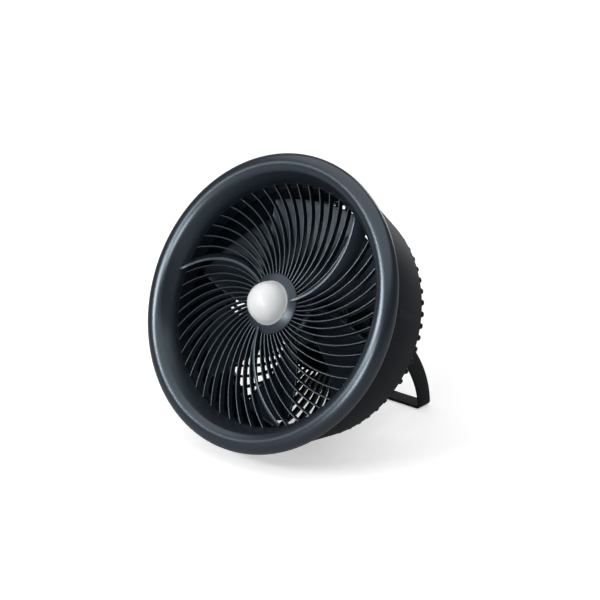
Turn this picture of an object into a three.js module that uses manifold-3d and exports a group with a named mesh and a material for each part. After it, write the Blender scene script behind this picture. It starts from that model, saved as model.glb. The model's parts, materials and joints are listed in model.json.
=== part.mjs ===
// A rechargeable air circulator: a tilted drum fan with swirl grilles, a light dome and a fold-out stand.
// Millimetres, +Z up, the fan faces -Y. Fan pieces are drawn in a fan frame: z runs out of the front along
// the fan's axis, x is sideways and y is up across the face, all from the centre of the front rim.
import * as THREE from 'three';
import { mergeVertices } from 'three/addons/utils/BufferGeometryUtils.js';
import Module from 'manifold-3d';

const wasm = await Module();
wasm.setup();

// Driving dimensions
const tilt = 25.6;             // how far the face leans back, degrees
const centreHeight = 125.3;    // rim centre above the floor
const rimR = 125;              // outside of the rolled rim
const rollR = 9;               // radius of the roll
const rollZ = 0.6;             // centre of the roll
const throatR = 102;           // opening of the bell
const throatZ = -8;            // where the bell meets the grille
const bellWall = 2.2;
const shellWall = 2.4;
const shellFront = { r: 121, z: -7.7 };
const shellRear = { r: 103.4, z: -72.2 };
const spigotR = 115.2;         // ring of the bell inside the shell's mouth
const clearance = 0.3;         // between touching pieces
const aroundBig = 48;          // flats round the large rings
const aroundHub = 32;          // and round the middling ones

const ribCount = 54;           // places round each grille
const vaneEvery = 18;          // every 18th place holds a wide vane
const swirl = 0.4;             // degrees a front rib turns for each millimetre of radius
const rearSwirl = -0.33;       // the same for a rear rib, the other way round
const rearSlant = 0.42;        // how far a rear rib leans over for each millimetre of its depth
const rearPhase = 2.9;
const rearRibThick = 2.2;
const knobCount = 64;          // knobs that stand out behind the shell's edge
const ribPhase = 20.2;         // angle of the first vane at the hub
const ribThick = 1.4;
const ribDepth = 5.5;
const vaneThick = 2.6;
const hubR = 25.7;             // hub ring of the front grille
const hubFaceR = 18.9;         // inner edge of its sloped face
const collarR = 101.7;         // inside of the grille's outer ring
const domeR = 17.8;            // light dome

const bladeCount = 6;
const bladeTipR = 93.5;
const bladeFrontZ = -20.5;
const bladeRearZ = -50.5;
const bladeTurn = 33.3;        // degrees between a blade's front and rear edges at the tip
const bladeSweep = 0.27;       // degrees the front edge runs ahead for each millimetre inwards
const bladePhase = 54.5;       // front corner of the first tip
const impellerHubR = 27.5;
const shaftR = 3;

const podR = 42;               // battery pod behind the rear grille
const podFrontZ = -86.4;
const podRearZ = -113;
const podWall = 2.3;
const plateR = 46;             // centre plate of the rear grille
const plateRearZ = -86;
const plateFrontZ = -83.2;
const cellR = 9.1;             // round cells, 65 mm long
const cellLength = 65;

const pivot = { y: 9, z: -95 };        // stand pivot in the fan frame
const strapWidth = 15.5;
const strapThick = 2.8;
const standOuterX = 56.7;              // outer faces of the two arms
const standEyeR = 8.6;                 // round ends on the pivots
const standFootY = 146.6;              // middle of the crossbar on the floor, behind the rim centre
const buttonSpot = { x: 9, y: 28, r: 5.5, travel: 0.8 };

const deg = Math.PI / 180;
const tiltRad = tilt * deg;

// Finishes, with the photo's colours
const finish = (color, roughness, metalness = 0) => new THREE.MeshStandardMaterial({ color, roughness, metalness });
const rimFinish = finish(0x39424d, 0.42);
const shellFinish = finish(0x2b3139, 0.5);
const grilleFinish = finish(0x6f7680, 0.45);
const darkFinish = finish(0x23272d, 0.55);
const impellerFinish = finish(0x4b535c, 0.5);
const domeFinish = finish(0xe4e6ea, 0.35);
const standFinish = finish(0x2a2c31, 0.48);
const steelFinish = finish(0xa9adb3, 0.35, 0.9);
const copperFinish = finish(0xb0693c, 0.4, 0.8);
const boardFinish = finish(0x1f5a3c, 0.6);
const cellFinish = finish(0x2f6fae, 0.4);
const rubberFinish = finish(0x1b1c1e, 0.85);
const lensFinish = finish(0xd8ead9, 0.25);

// Shares the vertices of touching faces, drops slivers at the axis and turns the faces outwards.
function closed(geometry) {
  geometry.deleteAttribute('normal');
  geometry.deleteAttribute('uv');
  const merged = mergeVertices(geometry, 1e-4);
  const corners = Array.from(merged.index.array);
  const place = merged.attributes.position;
  const a = new THREE.Vector3();
  const b = new THREE.Vector3();
  const c = new THREE.Vector3();
  const kept = [];
  let volume = 0;
  for (let i = 0; i < corners.length; i += 3) {
    const [p, q, s] = corners.slice(i, i + 3);
    if (p === q || q === s || s === p) continue;
    kept.push([p, q, s]);
    a.fromBufferAttribute(place, p);
    b.fromBufferAttribute(place, q);
    c.fromBufferAttribute(place, s);
    volume += a.dot(b.cross(c));
  }
  merged.setIndex(kept.flatMap(([p, q, s]) => (volume > 0 ? [p, q, s] : [p, s, q])));
  return merged;
}

function toSolid(geometry) {
  const vertProperties = new Float32Array(geometry.attributes.position.array);
  const triVerts = new Uint32Array(geometry.index.array);
  return new wasm.Manifold(new wasm.Mesh({ numProp: 3, vertProperties, triVerts }));
}

function toGeometry(solid) {
  const mesh = solid.getMesh();
  const geometry = new THREE.BufferGeometry();
  geometry.setAttribute('position', new THREE.BufferAttribute(new Float32Array(mesh.vertProperties), 3));
  geometry.setIndex(Array.from(mesh.triVerts));
  return geometry;
}

// Joins the first pieces and cuts the second ones out of them.
function build(joined, cutters = []) {
  let solid = toSolid(joined[0]);
  for (const piece of joined.slice(1)) solid = solid.add(toSolid(piece));
  for (const cutter of cutters) solid = solid.subtract(toSolid(cutter));
  return toGeometry(solid);
}

// A solid of revolution about z from [radius, z] points. A profile off the axis closes on itself.
function turned(profile, segments) {
  const points = profile.map(([r, z]) => new THREE.Vector2(r, z));
  if (profile[0][0] > 0) points.push(points[0].clone());
  return closed(new THREE.LatheGeometry(points, segments).rotateX(Math.PI / 2));
}

function rod(radius, fromZ, toZ, segments = 16) {
  return turned([[0, fromZ], [radius, fromZ], [radius, toZ], [0, toZ]], segments);
}

function tubeRing(innerR, outerR, fromZ, toZ, segments) {
  return turned([[innerR, fromZ], [outerR, fromZ], [outerR, toZ], [innerR, toZ]], segments);
}

function block(width, height, depth, x, y, z) {
  return closed(new THREE.BoxGeometry(width, height, depth).translate(x, y, z));
}

// A flat outline in x and y, with a thickness in z.
function plate(shape, fromZ, toZ, curveSegments = 8) {
  const options = { depth: toZ - fromZ, bevelEnabled: false, curveSegments };
  return closed(new THREE.ExtrudeGeometry(shape, options).translate(0, 0, fromZ));
}

// A box whose grid is bent into place: along and up run 0 to 1, side runs -0.5 to 0.5.
function bent(alongSteps, upSteps, put) {
  const geometry = new THREE.BoxGeometry(1, 1, 1, alongSteps, 1, upSteps);
  const grid = geometry.attributes.position;
  for (let i = 0; i < grid.count; i++) {
    grid.setXYZ(i, ...put(grid.getX(i) + 0.5, grid.getY(i), grid.getZ(i) + 0.5));
  }
  return closed(geometry);
}

// Points of an arc as [radius, z], angles in degrees from the outward direction.
function arc(centreR, centreZ, radius, fromAngle, toAngle, steps) {
  const points = [];
  for (let i = 0; i <= steps; i++) {
    const angle = (fromAngle + ((toAngle - fromAngle) * i) / steps) * deg;
    points.push([centreR + radius * Math.cos(angle), centreZ + radius * Math.sin(angle)]);
  }
  return points;
}

// Reads a table of [radius, low z, high z] stations in between.
function between(stations, r) {
  let i = 1;
  while (i < stations.length - 1 && stations[i][0] < r) i++;
  const [low, high] = [stations[i - 1], stations[i]];
  const part = Math.min(Math.max((r - low[0]) / (high[0] - low[0]), 0), 1);
  return [low[1] + (high[1] - low[1]) * part, low[2] + (high[2] - low[2]) * part];
}

// A curved rib that leaves the hub and turns steadily as it runs out, through the given stations.
// A slanted one leans over, its low edge behind its high one.
function swirlRib(stations, turnPerMm, angleAtHub, hubRadius, thick, slant = 0) {
  return bent(stations.length - 1, 1, (along, side, up) => {
    const r = stations[Math.round(along * (stations.length - 1))][0];
    const angle = (angleAtHub + turnPerMm * (r - hubRadius)) * deg;
    const lean = Math.atan(r * turnPerMm * deg);
    const out = r - Math.sin(lean) * side * thick;
    const across = Math.cos(lean) * side * thick;
    const [low, high] = between(stations, r);
    const turn = angle + (slant * (high - low) * (up - 0.5)) / r;
    const x = out * Math.cos(turn) - across * Math.sin(turn);
    const y = out * Math.sin(turn) + across * Math.cos(turn);
    return [x, y, low + (high - low) * up];
  });
}

const model = new THREE.Group();
const fan = new THREE.Group();
fan.position.z = centreHeight;
fan.rotation.x = Math.PI / 2 - tiltRad;
model.add(fan);

function add(name, geometry, material, group = fan) {
  const mesh = new THREE.Mesh(geometry, material);
  mesh.name = name;
  group.add(mesh);
  return mesh;
}

// Bell ring: a hollow roll whose inner wall sinks to the grille, with a spigot for the shell
function bellRing() {
  const rollCentre = rimR - rollR;
  const inner = new THREE.QuadraticBezierCurve(
    new THREE.Vector2(rollCentre + rollR * Math.cos(150 * deg), rollZ + rollR * Math.sin(150 * deg)),
    new THREE.Vector2(throatR + 1, throatZ + 4.5),
    new THREE.Vector2(throatR, throatZ),
  ).getPoints(3).slice(1).map((p) => [p.x, p.y]);
  const recessR = collarR + 2.8;
  const profile = [
    ...arc(rollCentre, rollZ, rollR, -50, 150, 6),
    ...inner,
    [recessR, throatZ],
    [recessR, -20],
    [recessR + bellWall, -20],
    ...arc(rollCentre, rollZ, rollR - bellWall, 135, -45, 3),
    [spigotR - bellWall, -4.9],
    [spigotR - bellWall, -18],
    [spigotR, -18],
    [spigotR, -7.3],
    [rollCentre + 5, -7.3],
  ];
  return turned(profile, aroundBig);
}

// Screws that lock the rim to the shell, one of them at the seam on the right
const rimScrewAngles = [10.6, 130.6, 250.6];
const rimScrewZ = -12.8;

function radialRod(radius, fromR, toR, angle, segments = 8) {
  return rod(radius, fromR, toR, segments).rotateY(Math.PI / 2).rotateZ(angle * deg);
}

function rimScrewHoles(radius, fromR, toR) {
  return rimScrewAngles.map((angle) => radialRod(radius, fromR, toR, angle).translate(0, 0, rimScrewZ));
}

add('bell_ring', build([bellRing()], rimScrewHoles(1.6, 108, 119)), rimFinish);

// Outer shell: a drum that narrows towards the rear
function outerShell() {
  const profile = [
    [shellFront.r, shellFront.z],
    [shellRear.r, shellRear.z],
    [shellRear.r - shellWall, shellRear.z],
    [shellFront.r - shellWall - 0.1, shellFront.z],
  ];
  const through = rimScrewHoles(1.6, 110, 125);
  const counterbores = rimScrewHoles(2.7, 118.2, 125);
  return build([turned(profile, aroundBig)], [...through, ...counterbores]);
}

add('outer_shell', outerShell(), shellFinish);

function headedScrew(headR, headLength, shankR, shankLength, headSegments = 8) {
  return turned([
    [0, 0],
    [headR * 0.8, 0],
    [headR, -headLength],
    [shankR, -headLength],
    [shankR, -headLength - shankLength],
    [0, -headLength - shankLength],
  ], headSegments);
}

rimScrewAngles.forEach((angle, i) => {
  const screw = add(`rim_screw_${i + 1}`, headedScrew(2.3, 1.2, 1.25, 6), steelFinish);
  screw.position.set(119.7 * Math.cos(angle * deg), 119.7 * Math.sin(angle * deg), rimScrewZ);
  screw.rotation.set(0, Math.PI / 2, angle * deg, 'ZYX');
});

// Front grille: the main feature. Thin swirl ribs, three deep vanes, the hub and the outer ring are one moulding.
function frontGrille() {
  const top = (r) => -5.4 - (3.2 * (r - hubR)) / (throatR - hubR);
  const ribEnd = collarR + 1.2;
  const ribStations = [hubR - 1.2, 40, 59, 80, ribEnd].map((r) => [r, top(r) - ribDepth, top(r)]);
  const vaneBody = [hubR - 1.6, 40, 59, 80, ribEnd].map((r) => [r, -17.5, -8.6]);
  const vaneCrest = [
    [hubFaceR + 3, -4.4, -1.9],
    [hubR - 0.8, -6, -2.4],
    [40, -12, -3],
    [59, -12, -3.4],
    [80, -12, -3.4],
    [collarR - 1.2, -9, -2.6],
    [throatR - 0.4, -4.6, -2.4],
    [throatR + 0.9, -2.2, -1.3],
  ];
  // The ring's flats are turned so that each rib ends on the middle of one
  const ribEndAngle = ribPhase + swirl * (collarR - hubR);
  const collar = tubeRing(collarR, collarR + 2.3, throatZ - 0.4, -24, ribCount)
    .rotateZ((90 + 180 / ribCount + ribEndAngle) * deg);
  const pieces = [
    collar,
    turned([
      [hubR, -4.8],
      [hubR - 0.7, -4.2],
      [hubFaceR, -0.9],
      [hubFaceR, -3.2],
      [hubFaceR - 2.4, -3.2],
      [hubFaceR - 2.4, -5.4],
      [hubR - 2.6, -6.9],
      [hubR - 2.6, -15.5],
      [hubR - 0.6, -15.5],
    ], aroundHub),
  ];
  for (let i = 0; i < ribCount; i++) {
    const angle = ribPhase + (i * 360) / ribCount;
    if (i % vaneEvery) {
      pieces.push(swirlRib(ribStations, swirl, angle, hubR, ribThick));
    } else {
      pieces.push(swirlRib(vaneBody, swirl, angle, hubR, vaneThick));
      pieces.push(swirlRib(vaneCrest, swirl, angle, hubR, vaneThick));
    }
  }
  return build(pieces);
}

add('front_grille', frontGrille(), grilleFinish);

// Light in the hub: dome, board, holder and the cap that closes the hub from behind
function lightDome() {
  const flangeR = hubFaceR - 0.4;
  return turned([
    ...arc(0, -1.4, domeR, 90, 0, 5),
    [flangeR, -1.4],
    [flangeR, -2.9],
    [domeR - 1.8, -2.9],
    ...arc(0, -1.4, domeR - 1.8, 0, 90, 3),
  ], 22);
}

function ledBoard() {
  const boardR = hubFaceR - 2.9;
  const lights = [0, 60, 120, 180, 240, 300].map((angle) => (
    block(3.4, 2.8, 1.4, 9, 0, -3.3).rotateZ(angle * deg)
  ));
  return build([rod(boardR, -5.1, -3.6, 16), ...lights]);
}

add('light_dome', lightDome(), domeFinish);
add('led_board', ledBoard(), boardFinish);
const holderR = hubR - 3;
add('led_holder', turned([[0, -5.5], [12, -5.5], [13, -7.4], [holderR, -7.4], [holderR, -9.4], [0, -9.4]], 16),
  steelFinish);
add('hub_cap', rod(holderR, -15.3, -13.6, 16), darkFinish);

// Impeller: six swept blades on a hub that covers the motor. Their rear edges run straight out.
function blade(index) {
  const rootR = impellerHubR - 1;
  return bent(4, 4, (along, side, chord) => {
    const r = rootR + (bladeTipR - rootR) * along;
    const frontZ = bladeFrontZ - 3.5 * (1 - along);
    const z = frontZ + (bladeRearZ - frontZ) * chord;
    const camber = 3 * Math.sin(Math.PI * chord);
    const ahead = bladeSweep * (bladeTipR - r);
    const front = bladePhase + ahead + (index * 360) / bladeCount;
    const angle = (front - (bladeTurn + ahead) * chord + camber) * deg;
    const sideways = (bladeTurn + ahead) * deg * r;
    const length = Math.hypot(sideways, bladeRearZ - frontZ);
    const thick = (2.6 - 1.1 * along) * (1 - 0.55 * Math.abs(2 * chord - 1)) * side;
    const across = ((bladeRearZ - frontZ) / length) * thick;
    const turn = angle + across / r;
    return [r * Math.cos(turn), r * Math.sin(turn), z + (sideways / length) * thick];
  });
}

function impeller() {
  const hub = turned([
    [shaftR + 0.3, -22],
    [22, -22],
    [26.2, -23.6],
    [impellerHubR, -27],
    [impellerHubR, -51],
    [impellerHubR - 2, -51],
    [impellerHubR - 2, -26.4],
    [24, -24.4],
    [shaftR + 0.3, -24.4],
  ], 24);
  const blades = Array.from({ length: bladeCount }, (_, i) => blade(i));
  return build([hub, ...blades]);
}

function polar(r, angle) {
  return new THREE.Vector2(r * Math.cos(angle * deg), r * Math.sin(angle * deg));
}

function hexNut(width, boreR, fromZ, toZ) {
  const shape = new THREE.Shape([0, 60, 120, 180, 240, 300].map((angle) => polar(width / Math.sqrt(3), angle)));
  shape.holes.push(new THREE.Path().absarc(0, 0, boreR, 0, Math.PI * 2, true));
  return plate(shape, fromZ, toZ);
}

add('impeller', impeller(), impellerFinish);
add('impeller_nut', hexNut(10, shaftR + 0.3, -21.7, -18.5), steelFinish);
add('motor_shaft', turned([[0, -17.9], [shaftR - 0.5, -17.9], [shaftR, -18.5], [shaftR, -78.5], [0, -78.5]], 16),
  steelFinish);

// Motor: an outer-rotor motor on a pedestal that stands on the rear plate
const statorR = 19.6;
add('rotor_cup', turned([
  [shaftR + 0.3, -26.8],
  [24.9, -26.8],
  [24.9, -49],
  [23.1, -49],
  [23.1, -28.4],
  [shaftR + 0.3, -28.4],
], 20), steelFinish);
add('magnet_ring', tubeRing(20.6, 22.7, -31, -47, 20), darkFinish);

function stator() {
  const teeth = 9;
  const tooth = [[12.4, -11], [17.4, -9], [statorR, -16], [statorR, 16], [17.4, 9], [12.4, 11]];
  const outline = Array.from({ length: teeth }, (_, i) => (
    tooth.map(([r, angle]) => polar(r, angle + (i * 360) / teeth))
  ));
  const shape = new THREE.Shape(outline.flat());
  shape.holes.push(new THREE.Path().absarc(0, 0, 8.7, 0, Math.PI * 2, true));
  const coils = Array.from({ length: teeth }, (_, i) => (
    block(4.2, 7.4, 16, 14.9, 0, -39).rotateZ(((i * 360) / teeth) * deg)
  ));
  return build([plate(shape, -44.5, -33.5), ...coils]);
}

add('motor_stator', stator(), copperFinish);

const motorScrewSpots = [30, 150, 270].map((angle) => [20.5 * Math.cos(angle * deg), 20.5 * Math.sin(angle * deg)]);
const rodsAt = (spots, radius, fromZ, toZ, segments = 10) => (
  spots.map(([x, y]) => rod(radius, fromZ, toZ, segments).translate(x, y, 0))
);

function motorMount() {
  const body = turned([
    [5.6, -30.6],
    [8.3, -30.6],
    [8.3, -72],
    [11, -79],
    [26, -80.4],
    [26, plateFrontZ + clearance],
    [5.6, plateFrontZ + clearance],
    [5.6, -72],
    [4.2, -72],
    [4.2, -36],
    [5.6, -36],
  ], 16);
  return build([body], rodsAt(motorScrewSpots, 1.8, -90, -70, 8));
}

add('motor_mount', motorMount(), darkFinish);
add('bearing_front', tubeRing(shaftR + 0.3, 5.2, -30.9, -35.7, 14), steelFinish);
add('bearing_rear', tubeRing(shaftR + 0.3, 5.2, -72.3, -77.3, 14), steelFinish);
motorScrewSpots.forEach(([x, y], i) => {
  const screw = add(`motor_screw_${i + 1}`, headedScrew(2.8, 1.7, 1.4, 7), steelFinish);
  screw.position.set(x, y, -77.8);
});

// Rear grille: slanted swirl ribs on a dome, and a ring with rounded knobs that stand out behind the
// shell's edge. The knobs underneath are small, because the fan rests there.
const podScrewSpots = [[24, 24], [-24, 24], [-24, -24], [24, -24]];
const ringR = 99.3;            // ring inside the shell's rear edge
const footZone = -21;          // knobs lower than this, in degrees, are small

function knob(index) {
  const angle = (index * 360) / knobCount - 1.5;
  const isFoot = Math.sin(angle * deg) < Math.sin(footZone * deg);
  const [reach, depth, width] = isFoot ? [103.1, 1.6, 3.4] : [103.9, 3, 5.2];
  const outline = new THREE.Shape([
    [ringR, -width / 2], [reach, -width / 3], [reach, width / 3], [ringR, width / 2],
  ].map(([x, y]) => new THREE.Vector2(x, y)));
  return plate(outline, -72.8 - depth, -72.8).rotateZ(angle * deg);
}

function rearGrille() {
  const rib = [[plateR - 2, -85.7, -83.5], [58, -85.3, -78.8], [80, -82.7, -76.2], [ringR, -78.2, -71.6]];
  const pieces = [
    rod(plateR, plateRearZ, plateFrontZ, aroundHub),
    tubeRing(ringR - 1.1, ringR + 1.1, -76.2, -68, aroundBig),
    ...Array.from({ length: knobCount }, (_, i) => knob(i)),
  ];
  for (let i = 0; i < ribCount; i++) {
    const angle = rearPhase + (i * 360) / ribCount;
    pieces.push(swirlRib(rib, rearSwirl, angle, plateR, rearRibThick, rearSlant));
  }
  const holes = [
    ...rodsAt(motorScrewSpots, 1.7, -95, -75, 8),
    ...rodsAt(podScrewSpots, 1.8, -95, -75, 8),
    rod(6, -95, -75, 12),
  ];
  return build(pieces, holes);
}

add('rear_grille', rearGrille(), darkFinish);

// Battery pod: a cup on the rear plate with lugs for the stand
const lugFaceX = 52.4;

function sideRod(radius, fromX, toX, y, z, segments = 16) {
  return rod(radius, fromX, toX, segments).rotateY(Math.PI / 2).translate(0, y, z);
}

function podCover() {
  const insideR = podR - podWall;
  const insideZ = podRearZ + podWall;
  const cup = turned([
    [0, podRearZ],
    [podR - 4.5, podRearZ],
    [podR - 1.3, podRearZ + 1.4],
    [podR, podRearZ + 4.6],
    [podR, podFrontZ],
    [insideR, podFrontZ],
    [insideR, insideZ + 3],
    [insideR - 2.6, insideZ],
    [0, insideZ],
  ], aroundHub);
  const lugs = [1, -1].map((side) => {
    const ends = [side * (podR - 3.5), side * lugFaceX];
    return sideRod(8.5, Math.min(...ends), Math.max(...ends), pivot.y, pivot.z);
  });
  const inside = rod(insideR, insideZ + 3, podFrontZ + 5, aroundHub);
  const posts = rodsAt(podScrewSpots, 3.2, insideZ - 1, podFrontZ, 8);
  const pinHoles = [1, -1].map((side) => {
    const ends = [side * 43.5, side * 60];
    return sideRod(shaftR + 0.35, Math.min(...ends), Math.max(...ends), pivot.y, pivot.z, 12);
  });
  const cutters = [
    ...rodsAt(podScrewSpots, 1.8, -120, -70, 8),
    ...rodsAt(podScrewSpots, 3, -120, podRearZ + 1.6, 8),
    ...rodsAt([[buttonSpot.x, buttonSpot.y], [-buttonSpot.x, buttonSpot.y]], buttonSpot.r + 0.35, -120, -109, 16),
    ...rodsAt([[0, buttonSpot.y]], 1.9, -120, -109),
    block(9.7, 4, 12, 0, -28, -113),
  ];
  const shell = build([cup, ...lugs], [inside, ...pinHoles]);
  return build([closed(shell), ...posts], cutters);
}

add('pod_cover', podCover(), shellFinish);
podScrewSpots.forEach(([x, y], i) => {
  const screw = add(`pod_screw_${i + 1}`, headedScrew(2.6, 1.2, 1.4, 27), steelFinish);
  screw.position.set(x, y, podRearZ + 0.2);
  screw.rotation.x = Math.PI;
});

[1, -1].forEach((side, i) => {
  const cell = add(`battery_cell_${i + 1}`, rod(cellR, -cellLength / 2, cellLength / 2, 18), cellFinish);
  cell.position.set(0, side * (cellR + 0.4), -100.9);
  cell.rotation.y = Math.PI / 2;
});
add('battery_tray', block(66, 38, 1.6, 0, 0, -90.4), darkFinish);

// Controls: a board with two switches under two buttons, and a light pipe between them
add('control_board', block(36, 13, 1.6, 0, 27.5, -104.6), boardFinish);
const switchTopZ = -108.4;
[1, -1].forEach((side, i) => {
  const button = turned([
    [0, podRearZ - 1.4],
    [buttonSpot.r - 0.9, podRearZ - 1.4],
    [buttonSpot.r, podRearZ - 0.6],
    [buttonSpot.r, podRearZ + podWall + 0.3],
    [buttonSpot.r + 1.2, podRearZ + podWall + 0.3],
    [buttonSpot.r + 1.2, podRearZ + podWall + 1.1],
    [0, podRearZ + podWall + 1.1],
  ], 14);
  const name = side > 0 ? 'speed_button' : 'light_button';
  add(name, button, rubberFinish).position.set(side * buttonSpot.x, buttonSpot.y, 0);
  add(`switch_${i + 1}`, build([
    block(6, 6, 2.2, 0, 0, -106.8),
    rod(1.7, switchTopZ, -107, 10),
  ]), darkFinish).position.set(side * buttonSpot.x, buttonSpot.y, 0);
});
add('indicator_lens', rod(1.55, podRearZ - 0.1, -106.2, 10), lensFinish).position.set(0, buttonSpot.y, 0);

// Charging: a socket in the rear wall on a board of its own
function chargeSocket() {
  const can = block(8.9, 3.2, 7.4, 0, 0, 3.7);
  const mouth = block(8.1, 2.4, 6.6, 0, 0, 3);
  const tongue = block(6.4, 0.7, 5.6, 0, 0, 4);
  return build([toGeometry(toSolid(can).subtract(toSolid(mouth))), tongue]);
}

add('charge_socket', chargeSocket(), steelFinish).position.set(0, -28, podRearZ + 0.1);
add('charge_board', block(24, 1.6, 14, 0, -30.7, -102), boardFinish);

// Stand: one flat strap, curved in side view, bent flat across the floor. Drawn in the fixed frame.
const pivotY = -pivot.z * Math.cos(tiltRad) + pivot.y * Math.sin(tiltRad);
const pivotZ = centreHeight + pivot.z * Math.sin(tiltRad) + pivot.y * Math.cos(tiltRad);

function standArm() {
  const middle = new THREE.CubicBezierCurve(
    new THREE.Vector2(pivotY, pivotZ),
    new THREE.Vector2(pivotY + 27.4, pivotZ - 28.6),
    new THREE.Vector2(standFootY - 3.4, 36),
    new THREE.Vector2(standFootY, 4),
  );
  const steps = 8;
  const front = [];
  const rear = [];
  for (let i = 0; i <= steps; i++) {
    const at = middle.getPoint(i / steps);
    const along = middle.getTangent(i / steps);
    const square = i === steps ? new THREE.Vector2(1, 0) : new THREE.Vector2(-along.y, along.x);
    front.push(at.clone().addScaledVector(square, -strapWidth / 2));
    rear.push(at.clone().addScaledVector(square, strapWidth / 2));
  }
  const shape = new THREE.Shape([...front, ...rear.reverse()]);
  const eye = rod(standEyeR, 0, strapThick, 20).translate(pivotY, pivotZ, 0);
  const arm = build([plate(shape, 0, strapThick), eye], [
    rod(shaftR + 0.4, -1, strapThick + 1, 12).translate(pivotY, pivotZ, 0),
  ]);
  // The outline lies in x and y here, and stands up as y and z
  return arm.applyMatrix4(new THREE.Matrix4().set(0, 0, 1, 0, 1, 0, 0, 0, 0, 1, 0, 0, 0, 0, 0, 1));
}

function standCrossbar() {
  const corner = 4;
  const inner = corner - strapThick;
  const insideX = standOuterX - strapThick;
  const height = 6;
  const shape = new THREE.Shape();
  shape.moveTo(standOuterX, height);
  shape.lineTo(standOuterX, corner);
  shape.absarc(standOuterX - corner, corner, corner, 0, -Math.PI / 2, true);
  shape.absarc(-standOuterX + corner, corner, corner, -Math.PI / 2, -Math.PI, true);
  shape.lineTo(-standOuterX, height);
  shape.lineTo(-insideX, height);
  shape.absarc(-standOuterX + corner, corner, inner, Math.PI, Math.PI * 1.5, false);
  shape.absarc(standOuterX - corner, corner, inner, -Math.PI / 2, 0, false);
  shape.lineTo(insideX, height);
  const bar = plate(shape, -strapWidth / 2, strapWidth / 2, 4);
  return bar.rotateX(Math.PI / 2).translate(0, standFootY, 0);
}

function standBail() {
  const right = closed(standArm().translate(standOuterX - strapThick, 0, 0));
  const left = closed(standArm().translate(-standOuterX, 0, 0));
  return build([standCrossbar(), right, left]);
}

add('stand_bail', standBail(), standFinish, model);

// Pivots: a shouldered pin and a friction washer on each side
[['right', 1], ['left', -1]].forEach(([side, sign]) => {
  const pin = turned([
    [0, 2.4],
    [3.6, 2.1],
    [5.6, 0.9],
    [5.6, 0],
    [shaftR, 0],
    [shaftR, -13],
    [0, -13],
  ], 14);
  const pinMesh = add(`pivot_pin_${side}`, pin, steelFinish);
  pinMesh.position.set(sign * (standOuterX + clearance), pivot.y, pivot.z);
  pinMesh.rotation.y = (sign * Math.PI) / 2;
  const washer = tubeRing(shaftR + 0.4, 7.2, 0.3, 1.1, 16);
  const washerMesh = add(`friction_washer_${side}`, washer, rubberFinish);
  washerMesh.position.set(sign * lugFaceX, pivot.y, pivot.z);
  washerMesh.rotation.y = (sign * Math.PI) / 2;
});

// The origin is the bottom centre of the object's box
model.updateMatrixWorld(true);
const box = new THREE.Box3().setFromObject(model, true);
model.position.set(0, -(box.min.y + box.max.y) / 2, -box.min.z);

export default model;
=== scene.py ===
# Air circulator fan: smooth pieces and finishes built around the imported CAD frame
import json
import math

import bmesh
import bpy
from mathutils import Matrix, Vector


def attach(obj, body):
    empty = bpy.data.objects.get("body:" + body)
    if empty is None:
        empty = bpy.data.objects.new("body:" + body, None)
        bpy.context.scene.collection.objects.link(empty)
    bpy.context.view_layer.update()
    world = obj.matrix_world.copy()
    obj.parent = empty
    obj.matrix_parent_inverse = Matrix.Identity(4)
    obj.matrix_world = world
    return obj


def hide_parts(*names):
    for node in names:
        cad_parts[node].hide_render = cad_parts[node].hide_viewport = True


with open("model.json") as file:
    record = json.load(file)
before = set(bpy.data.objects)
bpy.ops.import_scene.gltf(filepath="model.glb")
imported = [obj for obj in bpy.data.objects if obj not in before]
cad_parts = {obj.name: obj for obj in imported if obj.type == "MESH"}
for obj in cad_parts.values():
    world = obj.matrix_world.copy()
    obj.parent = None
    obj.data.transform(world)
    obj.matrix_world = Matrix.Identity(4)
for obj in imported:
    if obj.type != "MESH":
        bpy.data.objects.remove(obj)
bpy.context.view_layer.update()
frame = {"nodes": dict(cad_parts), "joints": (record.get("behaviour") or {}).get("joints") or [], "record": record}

mm = 0.001
weldReach = 2e-6      # metres; corners closer than this become one
joints = {joint["name"]: joint for joint in frame["joints"]}
mounts = {mount["name"]: mount for mount in frame["record"]["mounts"]}
fanCentre = Vector(joints["impeller_spin"]["pos_m"])      # middle of the front rim
fanAxis = Vector(joints["impeller_spin"]["axis"])         # out of the front
pivot = Vector(joints["stand_fold"]["pos_m"])             # where the stand hangs
fanTilt = math.atan2(fanAxis.z, -fanAxis.y)
# Fan pieces are drawn with z out of the front, x sideways and y up, and then seated in the frame.
# Their sizes are in millimetres from the middle of the front rim, so what lies behind it has z below 0.
fanPlace = Matrix.Translation(fanCentre) @ Matrix.Rotation(math.pi / 2 - fanTilt, 4, "X")


# modelling helpers
def deselectAll():
    bpy.ops.object.select_all(action="DESELECT")


def pick(piece):
    deselectAll()
    piece.select_set(True)
    bpy.context.view_layer.objects.active = piece


def startFrom(addPrimitive, **settings):
    # a primitive that is then shaped further
    deselectAll()
    addPrimitive(**settings)
    return bpy.context.object


def enterEdit(piece):
    pick(piece)
    bpy.ops.object.mode_set(mode="EDIT")


def leaveEdit():
    bpy.ops.object.mode_set(mode="OBJECT")


def selectMesh():
    bpy.ops.mesh.select_all(action="SELECT")


def faceOutwards():
    selectMesh()
    bpy.ops.mesh.normals_make_consistent(inside=False)
    leaveEdit()


def moved(x, y, z):
    return Matrix.Translation((x * mm, y * mm, z * mm))


def turned(angle, axis="Z"):
    return Matrix.Rotation(math.radians(angle), 4, axis)


def freeze(piece, place=None):
    # the object goes to the origin and its place into its mesh
    pick(piece)
    if place is not None:
        piece.matrix_world = place @ piece.matrix_world
    bpy.ops.object.transform_apply(location=True, rotation=True, scale=True)


def modify(piece, kind, **settings):
    pick(piece)
    modifier = piece.modifiers.new(kind.lower(), kind)
    for name, value in settings.items():
        setattr(modifier, name, value)
    bpy.ops.object.modifier_apply(modifier=modifier.name)


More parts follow.
